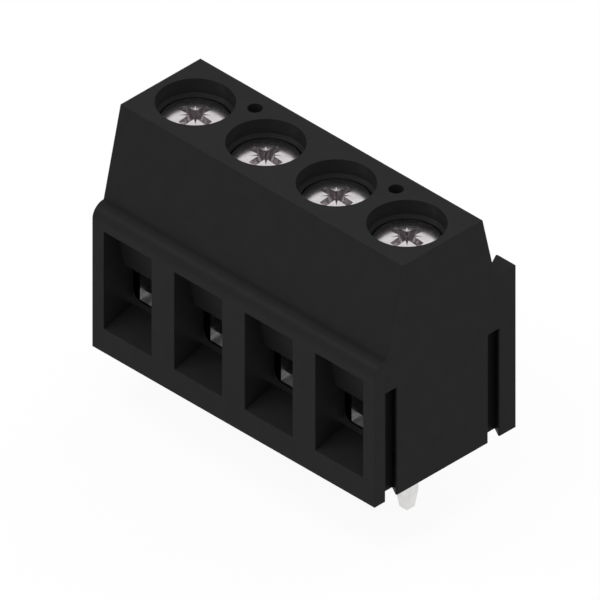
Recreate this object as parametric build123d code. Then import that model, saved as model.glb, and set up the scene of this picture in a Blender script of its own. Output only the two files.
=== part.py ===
from build123d import *
import math
import os

# A row of rising-clamp screw terminals that is soldered to a printed circuit board.
# Frame: X runs along the row, the wires enter at -Y, +Z is up from the board.
# The origin is the middle of the row of solder pins, on the face of the board. Lengths in mm.

# The row
poles = 4
pitch = 5.00

# Housing, seen from its end: distances from the wire side, heights from the board
housing_depth = 10.0
housing_height = 13.8
pin_from_front = 4.80
lean = 13.0
shoulder_radius = 0.8
top_front_inset = 2.0
top_rear_inset = 2.34
step_height = 9.9

# Wire ports
port_width = 3.4
port_sill = 1.45
port_top = 7.40
port_lip_depth = 0.82
throat_top = 4.67
front_wall = 2.10

# Dovetail grooves in one end, ribs on the other end that fit the next block's grooves
groove_from_front = (0.75, 8.02)
groove_mouth = 0.78
groove_depth = 0.65
groove_undercut = 0.36
groove_height = 6.61
mouth_radius = 0.07
rib_clearance = 0.05

# Dovetail channels down the rear face, one for each pole
channel_mouth = 2.26
channel_depth = 0.65
channel_undercut = 0.35

# Sockets for a marker strip, in the top at every second joint between poles
socket_diameter = 0.80
socket_from_front = 6.53
socket_depth = 2.0
socket_bottom = 0.70

# Screw and the hole that a screwdriver enters
hole_diameter = 4.10
hole_straight = 0.84
bead_bore = 3.74
bead_land = 0.02
chamber_bore = 4.00
head_diameter = 3.86
head_height = 2.10
crown_depth = 0.76
crown_rise = 0.20
crown_diameter = 3.44
head_shoulder = 0.21
shank_diameter = 2.50
shank_clearance = 0.15
tip_chamfer = 0.35
seat_gap = 0.03
tip_gap = 0.03

# Cross recess in the screw head: its wings, the corners between them, and a notch in each corner
recess_span = 2.06
recess_wing = 0.45
recess_core = 0.70
recess_notch = 0.60
recess_depth = 1.00
recess_taper = 26.5

# Clamp yoke: a steel frame that the screw draws up
yoke_opening = 2.74
yoke_side = 0.45
yoke_floor = 0.50
yoke_nut = 1.40
yoke_bend = 0.55
yoke_side_clearance = 0.08
yoke_end_clearance = 0.15
yoke_lead_in = 0.37
thread_clearance = 0.05
drop_travel = 1.15
lift_travel = 1.00
open_gap = 0.10
closed_gap = 0.07
nut_gap = 0.10
roof_gap = 0.15
grip_grooves = 4
grip_pitch = 0.70
grip_depth = 0.12

# Current bar: a tinned copper strip, folded under the yoke and drawn out into the solder pin
bar_width = 2.50
bar_thickness = 0.80
bar_recess = 0.10
bar_bend = 0.90
bar_edge = 0.12
bar_front_gap = 0.10
bar_rear_gap = 0.15
bar_slot_clearance = 0.05
wing_length = 1.40
pin_side = 0.80
pin_length = 3.50
pin_point_length = 1.00
pin_point_side = 0.54

# Margin by which a cutting shape runs past the face that it opens
over = 1.0

# Sizes that follow from those above
row_length = poles * pitch
slope = math.tan(math.radians(lean))
shoulder_height = housing_height - (top_front_inset - shoulder_radius) / slope
rear_foot = housing_depth - top_rear_inset + (housing_height - step_height) * slope

bar_leg_top = bar_recess + bar_thickness
yoke_bottom = bar_leg_top + open_gap + drop_travel
yoke_floor_top = yoke_bottom + yoke_floor
contact_height = yoke_floor_top + lift_travel + closed_gap
contact_top = contact_height + bar_thickness
yoke_nut_bottom = contact_top + nut_gap + drop_travel
yoke_top = yoke_nut_bottom + yoke_nut
chamber_roof = yoke_top + lift_travel + roof_gap

yoke_width = yoke_opening + 2 * yoke_side
yoke_front = front_wall + yoke_end_clearance
yoke_rear = 2 * pin_from_front - yoke_front
chamber_width = yoke_width + 2 * yoke_side_clearance
chamber_rear = yoke_rear + yoke_end_clearance
bar_front = yoke_front + bar_front_gap
bar_inner_rear = yoke_rear + bar_rear_gap
bar_rear = bar_inner_rear + bar_thickness

crown_top = housing_height - crown_depth
head_underside = crown_top - head_height
screw_seat = head_underside - seat_gap
screw_tip = contact_top + tip_gap


def pole_x(index):
    """Place of a pole along the row."""
    return (index - (poles - 1) / 2) * pitch


def back(distance):
    """Y of what lies this far behind the wire side."""
    return distance - pin_from_front


def side_solid(points, width, x=0.0):
    """A solid of constant width along X, from its outline as (distance from front, height)."""
    outline = Polyline([(back(distance), height) for distance, height in points], close=True)
    return Pos(x, 0, 0) * extrude(Plane.YZ * make_face(outline), amount=width / 2, both=True)


def dovetail_cut(mouth, depth, undercuts, radius):
    """Plan of a dovetail groove: it opens at Y = 0 along X from 0 to mouth and deepens towards +Y."""
    left, right = undercuts
    points = [(0, 0), (-left, depth), (mouth + right, depth), (mouth, 0)]
    rounded = [(mouth, 0)]
    points += [(mouth + over, 0), (mouth + over, -over)]
    if left:
        rounded.append((0, 0))
        points += [(-over, -over), (-over, 0)]
    else:
        points += [(0, -over)]
    plan = make_face(Polyline(points, close=True))
    corners = [plan.vertices().sort_by_distance(corner)[0] for corner in rounded]
    return fillet(corners, radius)


def housing_body():
    """The outer form: wire side, rounded shoulder, two leaning faces and the step at the rear."""
    radius = shoulder_radius
    front_foot = (back(0), 0)
    shoulder = (back(0), shoulder_height - radius)
    outline = Line(front_foot, shoulder)
    outline += CenterArc((back(radius), shoulder_height - radius), radius, 90, 90)
    outline += Polyline(
        (back(radius), shoulder_height),
        (back(top_front_inset), housing_height),
        (back(housing_depth - top_rear_inset), housing_height),
        (back(rear_foot), step_height),
        (back(housing_depth), step_height),
        (back(housing_depth), 0),
        front_foot,
    )
    return extrude(Plane.YZ * make_face(outline), amount=row_length / 2, both=True)


def wire_port(x):
    """The port: a sill and a back wall that lean towards the throat in front of the clamp."""
    rise = front_wall * slope
    throat_lip = port_lip_depth + (port_top - throat_top) * slope
    points = [
        (-over, port_sill),
        (0, port_sill),
        (front_wall, port_sill + rise),
        (front_wall + over, port_sill + rise),
        (front_wall + over, throat_top),
        (throat_lip, throat_top),
        (port_lip_depth, port_top),
        (-over, port_top),
    ]
    return side_solid(points, port_width, x)


def clamp_chamber(x):
    """The chamber for yoke and bar, open at the underside, with a slot for the bar's rear leg."""
    chamber = side_solid(
        [
            (front_wall, -over),
            (chamber_rear, -over),
            (chamber_rear, chamber_roof),
            (front_wall, chamber_roof),
        ],
        chamber_width,
        x,
    )
    slot_width = bar_width + 2 * bar_slot_clearance
    slot = side_solid(
        [
            (front_wall + over, -over),
            (bar_rear, -over),
            (bar_rear, contact_top),
            (front_wall + over, contact_top),
        ],
        slot_width,
        x,
    )
    return chamber + slot


def screw_shaft(x):
    """The screwdriver hole, the bead that keeps the screw in, the head's chamber and the shank's hole."""
    bead_step = (hole_diameter - bead_bore) / 2
    bead_start = housing_height - hole_straight
    land_top = bead_start - bead_step
    land_bottom = land_top - bead_land
    chamber_top = land_bottom - (chamber_bore - bead_bore) / 2
    points = [
        (0, housing_height + over),
        (hole_diameter / 2, housing_height + over),
        (hole_diameter / 2, bead_start),
        (bead_bore / 2, land_top),
        (bead_bore / 2, land_bottom),
        (chamber_bore / 2, chamber_top),
        (chamber_bore / 2, screw_seat),
        (shank_diameter / 2 + shank_clearance, screw_seat),
        (shank_diameter / 2 + shank_clearance, chamber_roof - over),
        (0, chamber_roof - over),
    ]
    shaft = revolve(Plane.XZ * make_face(Polyline(points, close=True)), axis=Axis.Z)
    return Pos(x, 0, 0) * shaft


def end_grooves():
    """Dovetail grooves in the +X end, open at the underside, undercut towards the rear."""
    plan = dovetail_cut(groove_mouth, groove_depth, (0, groove_undercut), mouth_radius)
    cut = extrude(plan, amount=groove_height + over)
    return [Pos(row_length / 2, back(start), -over) * Rot(0, 0, 90) * cut for start in groove_from_front]


def end_ribs():
    """Ribs on the -X end that slide into the next block's grooves."""
    proud = groove_depth - rib_clearance
    root = groove_mouth - 2 * rib_clearance
    flare = root + groove_undercut * proud / groove_depth
    plan = make_face(Polyline((over, 0), (over, root), (0, root), (-proud, flare), (-proud, 0), close=True))
    rib = extrude(plan, amount=groove_height - 2 * rib_clearance)
    return [Pos(-row_length / 2, back(start + rib_clearance), 0) * rib for start in groove_from_front]


def rear_channel(x):
    """A dovetail channel down the rear face, behind a pole."""
    undercuts = (channel_undercut, channel_undercut)
    plan = dovetail_cut(channel_mouth, channel_depth, undercuts, mouth_radius)
    cut = extrude(plan, amount=step_height + 2 * over)
    return Pos(x + channel_mouth / 2, back(housing_depth), -over) * Rot(0, 0, 180) * cut


def marker_sockets():
    """Small blind holes in the top, at every second joint between poles, a little narrower at the bottom."""
    taper = (socket_diameter - socket_bottom) / 2 / socket_depth
    plug = Cone(
        socket_bottom / 2,
        socket_diameter / 2 + over * taper,
        socket_depth + over,
        align=(Align.CENTER, Align.CENTER, Align.MIN),
    )
    spots = [pole_x(index) + pitch / 2 for index in range(0, poles - 1, 2)]
    return [Pos(x, back(socket_from_front), housing_height - socket_depth) * plug for x in spots]


def housing():
    """The moulded housing, one solid for the whole row."""
    body = housing_body() + end_ribs()
    body -= end_grooves()
    body -= marker_sockets()
    for index in range(poles):
        x = pole_x(index)
        body -= [rear_channel(x), wire_port(x), clamp_chamber(x), screw_shaft(x)]
    return body


def cross_recess():
    """A cross with a notch in each inner corner. A cone bounds its wings, so their ends slope in."""
    side, core = recess_wing / 2, recess_core / 2
    notch = recess_notch * math.sqrt(0.5)
    quarter = [(recess_span, side), (core, side), (notch, notch), (side, core), (side, recess_span)]
    outline = [Vector(*point).rotate(Axis.Z, 90 * turn) for turn in range(4) for point in quarter]
    star = make_face(Polyline(outline, close=True))
    cross = Pos(0, 0, crown_top - recess_depth) * extrude(star, amount=recess_depth + over)
    slope_in = math.tan(math.radians(recess_taper))
    bottom_radius = recess_span / 2 - recess_depth * slope_in
    top_radius = recess_span / 2 + over * slope_in
    cone = Pos(0, 0, crown_top - recess_depth) * Cone(
        bottom_radius, top_radius, recess_depth + over, align=(Align.CENTER, Align.CENTER, Align.MIN)
    )
    return cross & cone


def clamp_screw():
    """A captive screw: low domed head with a cross recess, and a plain shank where the thread runs."""
    edge_height = crown_top - crown_rise
    head_radius = head_diameter / 2
    crown_radius = crown_diameter / 2
    shank_radius = shank_diameter / 2
    dome_radius = (crown_radius**2 + crown_rise**2) / (2 * crown_rise)
    outline = Polyline(
        (0, crown_top),
        (0, screw_tip),
        (shank_radius - tip_chamfer, screw_tip),
        (shank_radius, screw_tip + tip_chamfer),
        (shank_radius, head_underside),
        (head_radius, head_underside),
        (head_radius, edge_height - head_shoulder),
        (crown_radius, edge_height),
    )
    outline += RadiusArc((0, crown_top), (crown_radius, edge_height), dome_radius)
    turned = revolve(Plane.XZ * make_face(outline), axis=Axis.Z)
    return turned - cross_recess()


def clamp_yoke():
    """A closed steel frame: thick threaded top, two sides, and a floor that lifts the wire."""
    depth = yoke_rear - yoke_front
    height = yoke_top - yoke_bottom
    opening_height = yoke_nut_bottom - yoke_floor_top
    middle = (yoke_bottom + yoke_top) / 2
    opening_middle = (yoke_floor_top + yoke_nut_bottom) / 2
    outer = Pos(0, middle) * RectangleRounded(yoke_width, height, yoke_bend)
    inner = Pos(0, opening_middle) * Rectangle(yoke_opening, opening_height)
    frame = extrude(Plane.XZ * (outer - inner), amount=depth / 2, both=True)
    hole_radius = shank_diameter / 2 + thread_clearance
    frame -= Pos(0, 0, yoke_nut_bottom + yoke_nut / 2) * Cylinder(hole_radius, yoke_nut + over)
    lead_in = side_solid(
        [
            (yoke_front, yoke_floor_top - yoke_lead_in),
            (yoke_front + yoke_lead_in, yoke_floor_top),
            (yoke_front, yoke_floor_top),
        ],
        yoke_opening,
    )
    grip = side_solid(
        [
            (pin_from_front - grip_depth, yoke_floor_top),
            (pin_from_front, yoke_floor_top - grip_depth),
            (pin_from_front + grip_depth, yoke_floor_top),
        ],
        yoke_opening,
    )
    first = -(grip_grooves - 1) / 2
    grips = [Pos(0, (first + step) * grip_pitch, 0) * grip for step in range(grip_grooves)]
    return frame - lead_in - grips


def current_bar():
    """The folded strip: contact leg through the yoke, rear leg, seat leg with wings, solder pin."""
    strip = make_face(
        Polyline(
            (back(bar_front), contact_height),
            (back(bar_inner_rear), contact_height),
            (back(bar_inner_rear), bar_leg_top),
            (-pin_side / 2, bar_leg_top),
            (-pin_side / 2, bar_recess),
            (back(bar_rear), bar_recess),
            (back(bar_rear), contact_top),
            (back(bar_front), contact_top),
            close=True,
        )
    )
    corner = strip.vertices().sort_by_distance
    bends = [corner((back(bar_rear), bar_recess))[0], corner((back(bar_rear), contact_top))[0]]
    strip = fillet(bends, bar_bend)
    corner = strip.vertices().sort_by_distance
    tip = [corner((back(bar_front), contact_height))[0], corner((back(bar_front), contact_top))[0]]
    strip = fillet(tip, bar_edge)
    body = extrude(Plane.YZ * strip, amount=bar_width / 2, both=True)
    body += Pos(0, back(chamber_rear) - wing_length / 2, bar_recess + bar_thickness / 2) * Box(
        chamber_width, wing_length, bar_thickness
    )
    straight = pin_length - pin_point_length
    pin = Box(pin_side, pin_side, bar_leg_top + straight, align=(Align.CENTER, Align.CENTER, Align.MIN))
    body += Pos(0, 0, -straight) * pin
    shoulder = Plane.XY.offset(-straight) * Rectangle(pin_side, pin_side)
    point = Plane.XY.offset(-pin_length) * Rectangle(pin_point_side, pin_point_side)
    return body + loft([shoulder, point])


os.makedirs("parts", exist_ok=True)
export_step(housing(), "parts/housing.step")
screw = clamp_screw()
yoke = clamp_yoke()
bar = current_bar()
for index in range(poles):
    place = Pos(pole_x(index), 0, 0)
    export_step(place * screw, f"parts/clamp_screw_{index + 1}.step")
    export_step(place * yoke, f"parts/clamp_yoke_{index + 1}.step")
    export_step(place * bar, f"parts/current_bar_{index + 1}.step")
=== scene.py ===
# %% [markdown]
# This lesson dresses a screw terminal block for a circuit board. The real one is a near-black plastic
# housing with four steel clamps in it. A clamp is a captive screw, a frame that the screw draws up, and
# a tinned strip that ends in a solder pin. The construction comes ready made, as a frame in real metres.
# Blender adds the finishes, the threads, the soft edges of the moulding, the light and the camera.

# %% Load the frame
import bpy
import bmesh
import math
from mathutils import Matrix, Vector


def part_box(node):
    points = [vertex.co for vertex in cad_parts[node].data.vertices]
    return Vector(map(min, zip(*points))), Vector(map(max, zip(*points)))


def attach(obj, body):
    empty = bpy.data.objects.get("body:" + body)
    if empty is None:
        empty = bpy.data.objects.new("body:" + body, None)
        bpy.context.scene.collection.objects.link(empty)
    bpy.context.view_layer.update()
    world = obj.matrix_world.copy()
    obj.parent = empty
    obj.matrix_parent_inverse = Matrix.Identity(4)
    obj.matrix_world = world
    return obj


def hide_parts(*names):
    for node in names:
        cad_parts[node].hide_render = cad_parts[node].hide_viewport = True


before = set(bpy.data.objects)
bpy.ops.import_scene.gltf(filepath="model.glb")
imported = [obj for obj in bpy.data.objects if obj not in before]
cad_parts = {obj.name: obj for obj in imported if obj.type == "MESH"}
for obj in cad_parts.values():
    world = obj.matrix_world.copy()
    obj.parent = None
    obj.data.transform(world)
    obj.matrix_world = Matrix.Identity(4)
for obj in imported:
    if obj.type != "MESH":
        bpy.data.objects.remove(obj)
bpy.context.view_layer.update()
mm = 0.001
print("frame nodes:", sorted(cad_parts))

# %% [markdown]
# The picture has no perspective, so parallel edges stay parallel. It is turned 45 degrees towards the
# grooved end of the block and looks down at 35 degrees. A camera could be pointed by hand or by a
# constraint. Three directions worked out from the two angles are exact, and the aim needs them too.

# %% Directions of the view
camera_turn = math.radians(45)
camera_tilt = math.radians(35)

view_right = Vector((math.cos(camera_turn), math.sin(camera_turn), 0))
view_back = Vector((
    math.sin(camera_turn) * math.cos(camera_tilt),
    -math.cos(camera_turn) * math.cos(camera_tilt),
    math.sin(camera_tilt),
))
view_up = view_back.cross(view_right)
print("from the block to the camera:", [round(c, 3) for c in view_back])

# %% [markdown]
# The scale, in pixels for each millimetre, sets how much of the world the picture takes in. The camera
# then aims so that the near lower corner of the housing lands on its own pixel. With no perspective,
# that puts every other edge in its place as well.

# %% Aim of the camera
image_pixels = 600
pixels_per_mm = 19.952
corner_pixel = (374.52, 507.88)
metres_per_pixel = mm / pixels_per_mm

housing_low, housing_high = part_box("housing")
near_corner = Vector((housing_high.x, housing_low.y, housing_low.z))
aim = near_corner - view_right * (corner_pixel[0] - image_pixels / 2) * metres_per_pixel
aim = aim + view_up * (corner_pixel[1] - image_pixels / 2) * metres_per_pixel
print("camera aims at", [round(c / mm, 2) for c in aim], "mm")

# %% [markdown]
# An orthographic camera gives a view with no perspective, so its distance doesn't change the picture.
# The Standard view transform leaves white as it is, where a film-like one would turn it grey.

# %% Camera
camera_distance = 0.25

camera_data = bpy.data.cameras.new("catalogue_camera")
camera_data.type = "ORTHO"
camera_data.ortho_scale = image_pixels * metres_per_pixel
camera_data.clip_start = 0.01
camera_data.clip_end = 5
camera = bpy.data.objects.new("catalogue_camera", camera_data)
camera.matrix_world = Matrix.Translation(aim + view_back * camera_distance) @ Matrix(
    (view_right, view_up, view_back)
).transposed().to_4x4()
bpy.context.scene.collection.objects.link(camera)
bpy.context.scene.camera = camera
bpy.context.scene.view_settings.view_transform = "Standard"
print("camera takes in", round(camera_data.ortho_scale / mm, 2), "mm")

# %% [markdown]
# Every finish below is a small tree of shader nodes. A tree could be wired by hand in the shader
# editor, but a script that makes it can be read and run again. Two helpers keep it short: one adds a
# node and sets its values, and one starts a material and hands back its Principled shader.

# %% Nodes and materials
def add_node(tree, kind, **values):
    """A new shader node. Each value sets the node's property of that name, or else its input."""
    node = tree.nodes.new(kind)
    for name, value in values.items():
        label = name.replace("_", " ").title()
        if hasattr(node, name):
            setattr(node, name, value)
        else:
            node.inputs[label].default_value = value
    return node


def new_material(name):
    """An empty node material: the material, its tree and its Principled shader."""
    material = bpy.data.materials.new(name)
    material.use_nodes = True
    return material, material.node_tree, material.node_tree.nodes["Principled BSDF"]


print("helpers:", add_node.__name__, new_material.__name__)

# %% [markdown]
# No real surface has one flat tone or one gloss. Image textures could carry that, but each needs a file
# and an unwrapped mesh. A noise that is read in object space needs neither, and its lumps have a real
# size. One helper makes the noise, one spreads it over a range, and one mixes two colours by it.

# %% Uneven tone and gloss
noise_low, noise_high = 0.3, 0.7


def grain(tree, size_mm, detail=2.0, stretch=(1, 1, 1)):
    """Noise whose lumps are about this wide, in object space."""
    place = add_node(tree, "ShaderNodeTexCoord")
    scale = add_node(tree, "ShaderNodeMapping")
    scale.inputs["Scale"].default_value = stretch
    noise = add_node(tree, "ShaderNodeTexNoise", scale=1 / (size_mm * mm), detail=detail)
    tree.links.new(place.outputs["Object"], scale.inputs["Vector"])
    tree.links.new(scale.outputs["Vector"], noise.inputs["Vector"])
    return noise.outputs["Fac"]


def spread(tree, value, low, high):
    """Maps the middle of a noise's values onto the range from low to high."""
    node = add_node(tree, "ShaderNodeMapRange")
    node.inputs["From Min"].default_value = noise_low
    node.inputs["From Max"].default_value = noise_high
    node.inputs["To Min"].default_value = low
    node.inputs["To Max"].default_value = high
    tree.links.new(value, node.inputs["Value"])
    return node.outputs["Result"]


def tint(tree, value, dark, light):
    """Mixes two colours by a noise."""
    node = add_node(tree, "ShaderNodeMix", data_type="RGBA")
    node.inputs["A"].default_value = (*dark, 1)
    node.inputs["B"].default_value = (*light, 1)
    tree.links.new(spread(tree, value, 0, 1), node.inputs["Factor"])
    return node.outputs["Result"]


print("noise is read from", noise_low, "to", noise_high)

# %% [markdown]
# Fine relief could be modelled, at the cost of a very heavy mesh. A bump node only tilts the normal,
# which is enough for a grain of a few thousandths of a millimetre. A bevel node does the same at sharp
# edges, and rounds them a little, as a mould leaves them.

# %% Fine relief
def bump(tree, value, depth_mm, strength, below=None):
    """A bump of this depth from a height value, on top of another normal if one is given."""
    node = add_node(tree, "ShaderNodeBump")
    node.inputs["Strength"].default_value = strength
    node.inputs["Distance"].default_value = depth_mm * mm
    tree.links.new(value, node.inputs["Height"])
    if below is not None:
        tree.links.new(below, node.inputs["Normal"])
    return node.outputs["Normal"]


def soft_edge(tree, radius_mm):
    """A normal that rounds sharp edges to this radius."""
    node = add_node(tree, "ShaderNodeBevel", samples=4)
    node.inputs["Radius"].default_value = radius_mm * mm
    return node.outputs["Normal"]


print("helpers:", bump.__name__, soft_edge.__name__)

# %% [markdown]
# In the photograph the narrow grooves and inner corners of the housing are darker than the light of
# this scene leaves them. They could be painted by hand on an unwrapped mesh. An ambient occlusion node
# finds them by itself, because it measures how near the walls stand, and the colour is made a little
# darker there.

# %% Painted shade in corners
# The darkening is painted shade: the colour itself is made darker where walls stand near.
corner_reach, corner_shade = 0.4, 0.88


def shade_corners(tree, colour):
    """Paints shade into a colour: darker in narrow grooves and inner corners."""
    closeness = add_node(tree, "ShaderNodeAmbientOcclusion", samples=6)
    closeness.inputs["Distance"].default_value = corner_reach * mm
    level = add_node(tree, "ShaderNodeMapRange")
    level.inputs["To Min"].default_value = corner_shade
    tree.links.new(closeness.outputs["AO"], level.inputs["Value"])
    shaded = add_node(tree, "ShaderNodeMix", data_type="RGBA", blend_type="MULTIPLY")
    shaded.inputs["Factor"].default_value = 1.0
    tree.links.new(colour, shaded.inputs["A"])
    tree.links.new(level.outputs["Result"], shaded.inputs["B"])
    return shaded.outputs["Result"]


print("corners are darkened within", corner_reach, "mm, down to", corner_shade, "of their colour")

# %% [markdown]
# The housing is moulded in plastic, so near black that its shape shows mostly by the light that it
# throws back. The colour varies by about a tenth, because more would look like dirt. The dull surface
# of a mould is a bump with grains of 0.06 mm, only thousandths of a millimetre deep. The material goes
# on the frame's own node, whose shape stays as it came.

# %% Housing plastic
plastic_dark = (0.0138, 0.0140, 0.0139)
plastic_light = (0.0152, 0.0155, 0.0153)
plastic_smooth, plastic_rough = 0.36, 0.42
plastic_mirror = 0.03
colour_patch, gloss_patch, mould_lump = 0.9, 0.15, 0.06
mould_depth, mould_strength, moulded_radius = 0.003, 0.5, 0.025


def repaint(material, *nodes):
    """Puts one material on the frame's own nodes."""
    for name in nodes:
        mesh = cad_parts[name].data
        mesh.materials.clear()
        mesh.materials.append(material)


housing_plastic, tree, shader = new_material("housing_plastic")
shader.inputs["Specular IOR Level"].default_value = plastic_mirror
plastic_colour = tint(tree, grain(tree, colour_patch, 3), plastic_dark, plastic_light)
# The plastic's colour gets the painted shade of its corners.
tree.links.new(shade_corners(tree, plastic_colour), shader.inputs["Base Color"])
plastic_gloss = spread(tree, grain(tree, gloss_patch), plastic_smooth, plastic_rough)
tree.links.new(plastic_gloss, shader.inputs["Roughness"])
moulded_edge = soft_edge(tree, moulded_radius)
mould_grain = bump(tree, grain(tree, mould_lump), mould_depth, mould_strength, below=moulded_edge)
tree.links.new(mould_grain, shader.inputs["Normal"])
repaint(housing_plastic, "housing")
print("plastic:", housing_plastic.name, "with", len(tree.nodes), "nodes")

# %% [markdown]
# The front edges of the yokes' floors look nearly black in the photograph. Another material on those
# faces would do it, but the meshes of the frame stay as they came. So the tone comes from the normal in
# object space, which tells the faces that look to the wire side from the others.

# %% Painted shade on the yokes' front faces
# The near black is painted shade: these faces stand deep in the throats, where little light reaches.
facing_none, facing_full = -0.85, -0.98


def paint_front_shade(tree, colour, tone):
    """Paints shade: a dark tone on the faces that look to the wire side."""
    place = add_node(tree, "ShaderNodeTexCoord")
    parts = add_node(tree, "ShaderNodeSeparateXYZ")
    tree.links.new(place.outputs["Normal"], parts.inputs["Vector"])
    facing = add_node(tree, "ShaderNodeMapRange")
    facing.inputs["From Min"].default_value = facing_none
    facing.inputs["From Max"].default_value = facing_full
    tree.links.new(parts.outputs["Y"], facing.inputs["Value"])
    mixed = add_node(tree, "ShaderNodeMix", data_type="RGBA")
    tree.links.new(facing.outputs["Result"], mixed.inputs["Factor"])
    tree.links.new(colour, mixed.inputs["A"])
    mixed.inputs["B"].default_value = (*tone, 1)
    return mixed.outputs["Result"]


# The faces called cut edges in this print are the ones that get painted shade.
print("cut edges have a normal of Y under", facing_none)

# %% [markdown]
# The metals take their colour from the base colour alone. The screws are smooth enough to mirror the
# white room and the dark wall of their own hole. The yokes are duller, and the tinned strip is the
# palest. One helper makes all three, because they differ only in numbers: each has an uneven tone and
# an uneven gloss, and the two stamped ones have a shallow grain that is drawn out one way.

# %% Metals
tone_patch, shine_patch, stamped_lump, stamped_strength = 0.5, 0.2, 0.05, 0.4


def metal(name, dark, light, smooth, rough, grain_depth=0.0, stretch=(1, 1, 1), front_shade_tone=None):
    """A plated metal with uneven tone and gloss. It can have a grain, and painted shade on the faces that
    look to the wire side.
    """
    material, tree, shader = new_material(name)
    shader.inputs["Metallic"].default_value = 1.0
    colour = tint(tree, grain(tree, tone_patch, 3), dark, light)
    if front_shade_tone is not None:
        colour = paint_front_shade(tree, colour, front_shade_tone)
    tree.links.new(colour, shader.inputs["Base Color"])
    shine = spread(tree, grain(tree, shine_patch, 2, stretch), smooth, rough)
    tree.links.new(shine, shader.inputs["Roughness"])
    if grain_depth:
        normal = bump(tree, grain(tree, stamped_lump, 2, stretch), grain_depth, stamped_strength)
        tree.links.new(normal, shader.inputs["Normal"])
    return material


screw_steel = metal("screw_steel", (0.58, 0.55, 0.56), (0.66, 0.63, 0.64), 0.20, 0.24)
# The yokes' faces that look to the wire side get a painted shade.
yoke_steel = metal(
    "yoke_steel", (0.38, 0.38, 0.38), (0.46, 0.46, 0.46), 0.28, 0.40,
    grain_depth=0.001, stretch=(1, 0.2, 1), front_shade_tone=(0.02, 0.02, 0.02),
)
tinned_strip = metal(
    "tinned_strip", (0.70, 0.695, 0.685), (0.78, 0.775, 0.765), 0.28, 0.38,
    grain_depth=0.001, stretch=(0.3, 1, 1),
)
for pole in (1, 2, 3, 4):
    repaint(screw_steel, f"clamp_screw_{pole}")
    repaint(yoke_steel, f"clamp_yoke_{pole}")
    repaint(tinned_strip, f"current_bar_{pole}")
print("metals:", screw_steel.name, yoke_steel.name, tinned_strip.name)

# %% [markdown]
# The screws are made anew, because the plain solids leave out their fine shapes: the thread, and four
# small ticks between the wings of the cross. A turned part could be a curve with a Screw modifier. Here
# it is a list of points, each a radius and a height, that goes round an axis. That gives a closed mesh
# straight away, and every size in it can be read.

# %% Turned shapes
def mesh_object(name, points, faces):
    """An object of these points in millimetres, in the scene so that modifiers can use it."""
    mesh = bpy.data.meshes.new(name)
    mesh.from_pydata([(x * mm, y * mm, z * mm) for x, y, z in points], [], faces)
    thing = bpy.data.objects.new(name, mesh)
    bpy.context.scene.collection.objects.link(thing)
    return thing


def turned(name, outline, sides=96):
    """A solid of revolution. The outline runs upward and stays clear of the axis."""
    points = []
    for radius, height in outline:
        for side in range(sides):
            angle = 2 * math.pi * side / sides
            points.append((radius * math.cos(angle), radius * math.sin(angle), height))
    faces = [list(reversed(range(sides)))]
    for row in range(len(outline) - 1):
        for side in range(sides):
            here, beside = row * sides + side, row * sides + (side + 1) % sides
            faces.append([here, beside, beside + sides, here + sides])
    last = (len(outline) - 1) * sides
    faces.append(list(range(last, last + sides)))
    return mesh_object(name, points, faces)


print("helpers:", mesh_object.__name__, turned.__name__)

# %% [markdown]
# The head of the screw is a low dome with a bevel round it. Its sizes come from the frame's own screw
# where they can, so that the new one fills the same box. A flattened sphere could be the dome, but an
# arc that is worked out from its width and its rise meets the bevel exactly.

# %% Screw head
screw_low, screw_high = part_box("clamp_screw_1")
crown_top = screw_high.z / mm
screw_tip = screw_low.z / mm
head_radius = (screw_high.x - screw_low.x) / 2 / mm
head_height, underside_bevel = 2.10, 0.12
crown_radius, crown_rise, crown_shoulder = 1.72, 0.20, 0.21
dome_radius = (crown_radius**2 + crown_rise**2) / (2 * crown_rise)
dome_steps = 18

head_underside = crown_top - head_height
edge_height = crown_top - crown_rise
head_outline = [
    (head_radius - underside_bevel, head_underside), (head_radius, head_underside + underside_bevel),
    (head_radius, edge_height - crown_shoulder), (crown_radius, edge_height),
]
for step in range(1, dome_steps):
    radius = crown_radius * (1 - step / dome_steps)
    height = crown_top - dome_radius + math.sqrt(dome_radius**2 - radius**2)
    head_outline.append((radius, height))
head = turned("screw_head", head_outline)
print("head:", round(2 * head_radius, 2), "mm across, dome radius", round(dome_radius, 2), "mm")

# %% [markdown]
# Shapes that aren't round need two more helpers. One raises an upright prism over a flat outline, and
# one adds a Boolean modifier, which cuts with another object. The recess could be built into the mesh
# of the head face by face, but simple solids that cut it are easier to read and to change.

# %% Prisms and cuts
def prism(name, corners, low, high):
    """An upright prism over a flat outline that runs counter-clockwise."""
    count = len(corners)
    points = [(x, y, low) for x, y in corners] + [(x, y, high) for x, y in corners]
    faces = [list(reversed(range(count))), list(range(count, 2 * count))]
    for side in range(count):
        beside = (side + 1) % count
        faces.append([side, beside, beside + count, side + count])
    return mesh_object(name, points, faces)


def cut(thing, tool, operation="DIFFERENCE"):
    """Adds a Boolean modifier that works on this object with a tool."""
    modifier = thing.modifiers.new(tool.name, "BOOLEAN")
    modifier.operation = operation
    modifier.solver = "EXACT"
    modifier.object = tool


print("helpers:", prism.__name__, cut.__name__)

# %% [markdown]
# The recess that takes the screwdriver is a cross. The ends of its wings slant inward as they go down,
# and the corners between them are cut back. A star-shaped prism gives the wings and those corners. A
# cone trims it, which gives the slant, and the head is cut with what is left.

# %% Cross recess
wing_reach, wing_side, core = 1.5, 0.225, 0.35
notch = 0.60 * math.sqrt(0.5)
recess_radius, recess_depth = 1.03, 1.00
recess_slope = math.tan(math.radians(26.5))
overrun = 0.3

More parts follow.
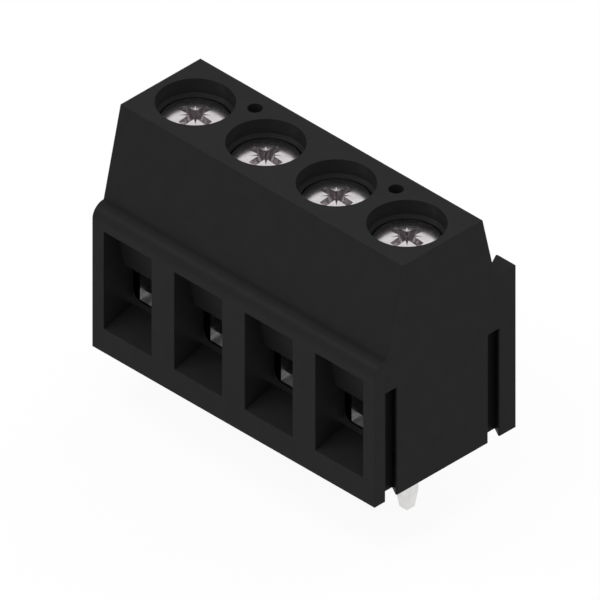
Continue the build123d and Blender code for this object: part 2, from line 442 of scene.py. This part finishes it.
quarter = [
    (wing_reach, wing_side), (core, wing_side), (notch, notch),
    (wing_side, core), (wing_side, wing_reach),
]
star = []
for turn_x, turn_y in ((1, 0), (0, 1), (-1, 0), (0, -1)):
    for x, y in quarter:
        star.append((x * turn_x - y * turn_y, x * turn_y + y * turn_x))
recess_bottom = crown_top - recess_depth
recess = prism("cross_recess", star, recess_bottom, crown_top + overrun)
trim_outline = [
    (recess_radius - (recess_depth + overrun) * recess_slope, recess_bottom - overrun),
    (recess_radius + 2 * overrun * recess_slope, crown_top + 2 * overrun),
]
trim = turned("recess_trim", trim_outline)
cut(recess, trim, "INTERSECT")
cut(head, recess)
print("recess:", recess_depth, "mm deep,", 2 * recess_radius, "mm across its wings")

# %% [markdown]
# Between the wings the photograph shows slivers of light and dark. Four small wedges, one between each
# pair of wings, are one reading of them. Each is three-cornered, comes to a point on the outside, and
# is deeper towards the middle.

# %% Ticks between the wings
tick_outer, tick_inner, tick_half = 0.82, 0.50, 0.05
tick_shallow, tick_deep = 0.06, 0.12
first_tick = 45
tick_outline = [
    (tick_outer, 0, crown_top - tick_shallow),
    (tick_inner, -tick_half, crown_top - tick_deep),
    (tick_inner, tick_half, crown_top - tick_deep),
]
tick_outline += [(along, across, crown_top + overrun) for along, across, height in tick_outline]
tick_faces = [(0, 1, 2), (3, 5, 4), (0, 3, 4, 1), (1, 4, 5, 2), (2, 5, 3, 0)]

ticks = []
for turn in range(4):
    angle = math.radians(first_tick + 90 * turn)
    corners = []
    for along, across, height in tick_outline:
        x = along * math.cos(angle) - across * math.sin(angle)
        y = along * math.sin(angle) + across * math.cos(angle)
        corners.append((x, y, height))
    tick = mesh_object(f"tick_{turn}", corners, tick_faces)
    ticks.append(tick)
    cut(head, tick)
print("ticks:", [tick.name for tick in ticks])

# %% [markdown]
# The thread is taken as an M2.5 one, with a pitch of 0.45 mm. A Screw modifier could sweep the profile,
# but wouldn't end it in a flat face. Here a strip with the four corners of the profile runs up the
# helix, and each turn is sewn to the one above. Points that would pass an end are held at it, and the
# radius is held back at the tip's chamfer and under the head.

# %% Screw thread
thread_pitch, thread_major, thread_minor = 0.45, 1.25, 0.98
tip_chamfer, neck, thread_overlap = 0.35, 0.40, 0.05
thread_sides = 36
thread_end = head_underside + thread_overlap
profile = [
    (0.0, thread_minor), (0.20, thread_minor),
    (0.54, thread_major), (0.66, thread_major),
]
row = len(profile)
along_helix = math.ceil((thread_end - screw_tip) / thread_pitch + 1) * thread_sides

thread_points = []
for step in range(along_helix + 1):
    angle = 2 * math.pi * step / thread_sides
    for share, radius in profile:
        height = screw_tip + thread_pitch * (step / thread_sides + share - 1)
        held = min(max(height, screw_tip), thread_end)
        reach = min(radius, thread_major - tip_chamfer + held - screw_tip)
        if height > thread_end - neck:
            reach = thread_minor
        thread_points.append((reach * math.cos(angle), reach * math.sin(angle), held))
thread_faces = []
for step in range(along_helix):
    for corner in range(row):
        here = step * row + corner
        above = here + 1 if corner < row - 1 else (step + thread_sides) * row
        if above + row < len(thread_points):
            thread_faces.append([here, here + row, above + row, above])
thread = mesh_object("screw_thread", thread_points, thread_faces)
print("thread:", round(thread_end - screw_tip, 2), "mm long,", len(thread_points), "points")

# %% [markdown]
# Now the modifiers are worked out once, and the head and the thread join in one mesh. A Boolean could
# unite them, but they overlap only inside the head, where nothing shows. Points in the same place are
# welded, the open ends are filled, and edges sharper than 30 degrees stay sharp.

# %% One mesh for a screw
weld_distance = 1e-7
sharp_edge = math.radians(30)

shapes = bpy.context.evaluated_depsgraph_get()
joined = bmesh.new()
for part in (thread, head):
    worked = bpy.data.meshes.new_from_object(part.evaluated_get(shapes))
    piece = bmesh.new()
    piece.from_mesh(worked)
    bmesh.ops.remove_doubles(piece, verts=piece.verts, dist=weld_distance)
    bmesh.ops.holes_fill(piece, edges=piece.edges, sides=0)
    bmesh.ops.recalc_face_normals(piece, faces=piece.faces)
    piece.to_mesh(worked)
    piece.free()
    joined.from_mesh(worked)
screw_mesh = bpy.data.meshes.new("clamp_screw")
joined.to_mesh(screw_mesh)
joined.free()
for face in screw_mesh.polygons:
    face.use_smooth = True
screw_mesh.set_sharp_from_angle(angle=sharp_edge)
screw_mesh.materials.clear()
screw_mesh.materials.append(screw_steel)
for helper in [head, thread, recess, trim] + ticks:
    bpy.data.objects.remove(helper)
print("screw mesh:", len(screw_mesh.vertices), "points,", len(screw_mesh.polygons), "faces")

# %% [markdown]
# The four screws are alike, so four objects share that one mesh. Each takes the place of one of the
# frame's screws and rides on the same body, so it turns with it at every pose.

# %% Four screws
for pole in (1, 2, 3, 4):
    low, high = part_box(f"clamp_screw_{pole}")
    screw = bpy.data.objects.new(f"threaded_screw_{pole}", screw_mesh)
    screw.location = ((low.x + high.x) / 2, (low.y + high.y) / 2, 0)
    bpy.context.scene.collection.objects.link(screw)
    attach(screw, f"screw_{pole}")
    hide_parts(f"clamp_screw_{pole}")
    print(screw.name, "stands at", [round(c / mm, 2) for c in screw.location], "mm")

# %% [markdown]
# The picture's ground is plain white. The floor and the world could be lit up to white with lamps, but
# then the block would be too light as well. A Light Path node tells what kind of ray asks, so both can
# be white for a ray that is seen, and less bright for a ray that carries light to the block.

# %% Rays that are seen
def ray_seen(tree):
    """1 for a ray from the camera, from a mirror or through glass, and 0 for one that carries light."""
    rays = add_node(tree, "ShaderNodeLightPath")
    clear = add_node(tree, "ShaderNodeMath", operation="MAXIMUM")
    seen = add_node(tree, "ShaderNodeMath", operation="MAXIMUM")
    tree.links.new(rays.outputs["Is Glossy Ray"], clear.inputs[0])
    tree.links.new(rays.outputs["Is Transmission Ray"], clear.inputs[1])
    tree.links.new(rays.outputs["Is Camera Ray"], seen.inputs[0])
    tree.links.new(clear.outputs["Value"], seen.inputs[1])
    return seen.outputs["Value"]


print("helper:", ray_seen.__name__)

# %% [markdown]
# The floor is a real plane under the pins that takes the block's shadow. Most of what the camera sees
# of it is a plain white glow, and the rest is lit like anything else. So the shadow stays as a faint
# tone, where a floor that only glows would have none.

# %% Floor
floor_half = 0.6
floor_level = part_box("current_bar_1")[0].z
floor_glow, floor_tone, floor_roughness = 0.93, 0.85, 0.9

floor_mesh = bpy.data.meshes.new("floor")
floor_signs = ((-1, -1), (1, -1), (1, 1), (-1, 1))
floor_points = [(x * floor_half, y * floor_half, floor_level) for x, y in floor_signs]
floor_mesh.from_pydata(floor_points, [], [(0, 1, 2, 3)])
floor = bpy.data.objects.new("floor", floor_mesh)
bpy.context.scene.collection.objects.link(floor)

floor_white, tree, shader = new_material("floor_white")
shader.inputs["Base Color"].default_value = (floor_tone, floor_tone, floor_tone, 1)
shader.inputs["Roughness"].default_value = floor_roughness
share = add_node(tree, "ShaderNodeMath", operation="MULTIPLY")
share.inputs[1].default_value = floor_glow
tree.links.new(ray_seen(tree), share.inputs[0])
glow = add_node(tree, "ShaderNodeEmission")
mixed = add_node(tree, "ShaderNodeMixShader")
tree.links.new(share.outputs["Value"], mixed.inputs["Fac"])
tree.links.new(shader.outputs["BSDF"], mixed.inputs[1])
tree.links.new(glow.outputs["Emission"], mixed.inputs[2])
tree.links.new(mixed.outputs["Shader"], tree.nodes["Material Output"].inputs["Surface"])
floor_mesh.materials.append(floor_white)
print("floor:", 2 * floor_half, "m wide, at", round(floor_level / mm, 2), "mm")

# %% [markdown]
# The world is pure white where the camera or a mirror looks at it, and dimmer as a source of light. A
# picture of a studio could stand round the block instead, but a plain white room comes close to what
# the screws mirror in the photograph, and needs no file.

# %% White room
ambient_light = 0.68

world = bpy.data.worlds.new("white_room")
world.use_nodes = True
bpy.context.scene.world = world
tree = world.node_tree
strength = add_node(tree, "ShaderNodeMapRange")
strength.inputs["To Min"].default_value = ambient_light
strength.inputs["To Max"].default_value = 1.0
tree.links.new(ray_seen(tree), strength.inputs["Value"])
background = tree.nodes["Background"]
background.inputs["Color"].default_value = (1, 1, 1, 1)
tree.links.new(strength.outputs["Result"], background.inputs["Strength"])
print("world:", world.name, "gives", ambient_light, "of its white as light")

# %% [markdown]
# Five lamps add to the light of the room. Each is a wide disk, because a small lamp would draw hard
# shadows and a thin highlight. One lamp hangs straight above and one stands behind, and they make the
# top the lightest face. Two stand on the wire side, light the floors of the ports and draw a lighter
# line along the rounded shoulder. The last one is weak, and lights the grooved end a little.

# %% Lamps
lamp_distance = 0.35
lamp_target = Vector((0, 0, 5 * mm))


def soft_lamp(name, turn, height, watts, width=0.20):
    """A round lamp at this bearing and height, in degrees, that faces the block."""
    data = bpy.data.lights.new(name, "AREA")
    data.shape = "DISK"
    data.size = width
    data.energy = watts
    lamp = bpy.data.objects.new(name, data)
    turn, height = math.radians(turn), math.radians(height)
    away = Vector((math.cos(turn) * math.cos(height), math.sin(turn) * math.cos(height), math.sin(height)))
    lamp.location = away * lamp_distance + lamp_target
    lamp.rotation_euler = away.to_track_quat("Z", "Y").to_euler()
    bpy.context.scene.collection.objects.link(lamp)
    return lamp


lamps = [
    soft_lamp("overhead_lamp", turn=0, height=88, watts=0.06),
    soft_lamp("rear_lamp", turn=90, height=45, watts=0.22),
    soft_lamp("left_lamp", turn=225, height=38, watts=0.20, width=0.10),
    soft_lamp("wire_side_lamp", turn=270, height=68, watts=0.38),
    soft_lamp("end_lamp", turn=45, height=35, watts=0.04),
]
print("lamps:", [(lamp.name, round(lamp.data.energy, 2)) for lamp in lamps])
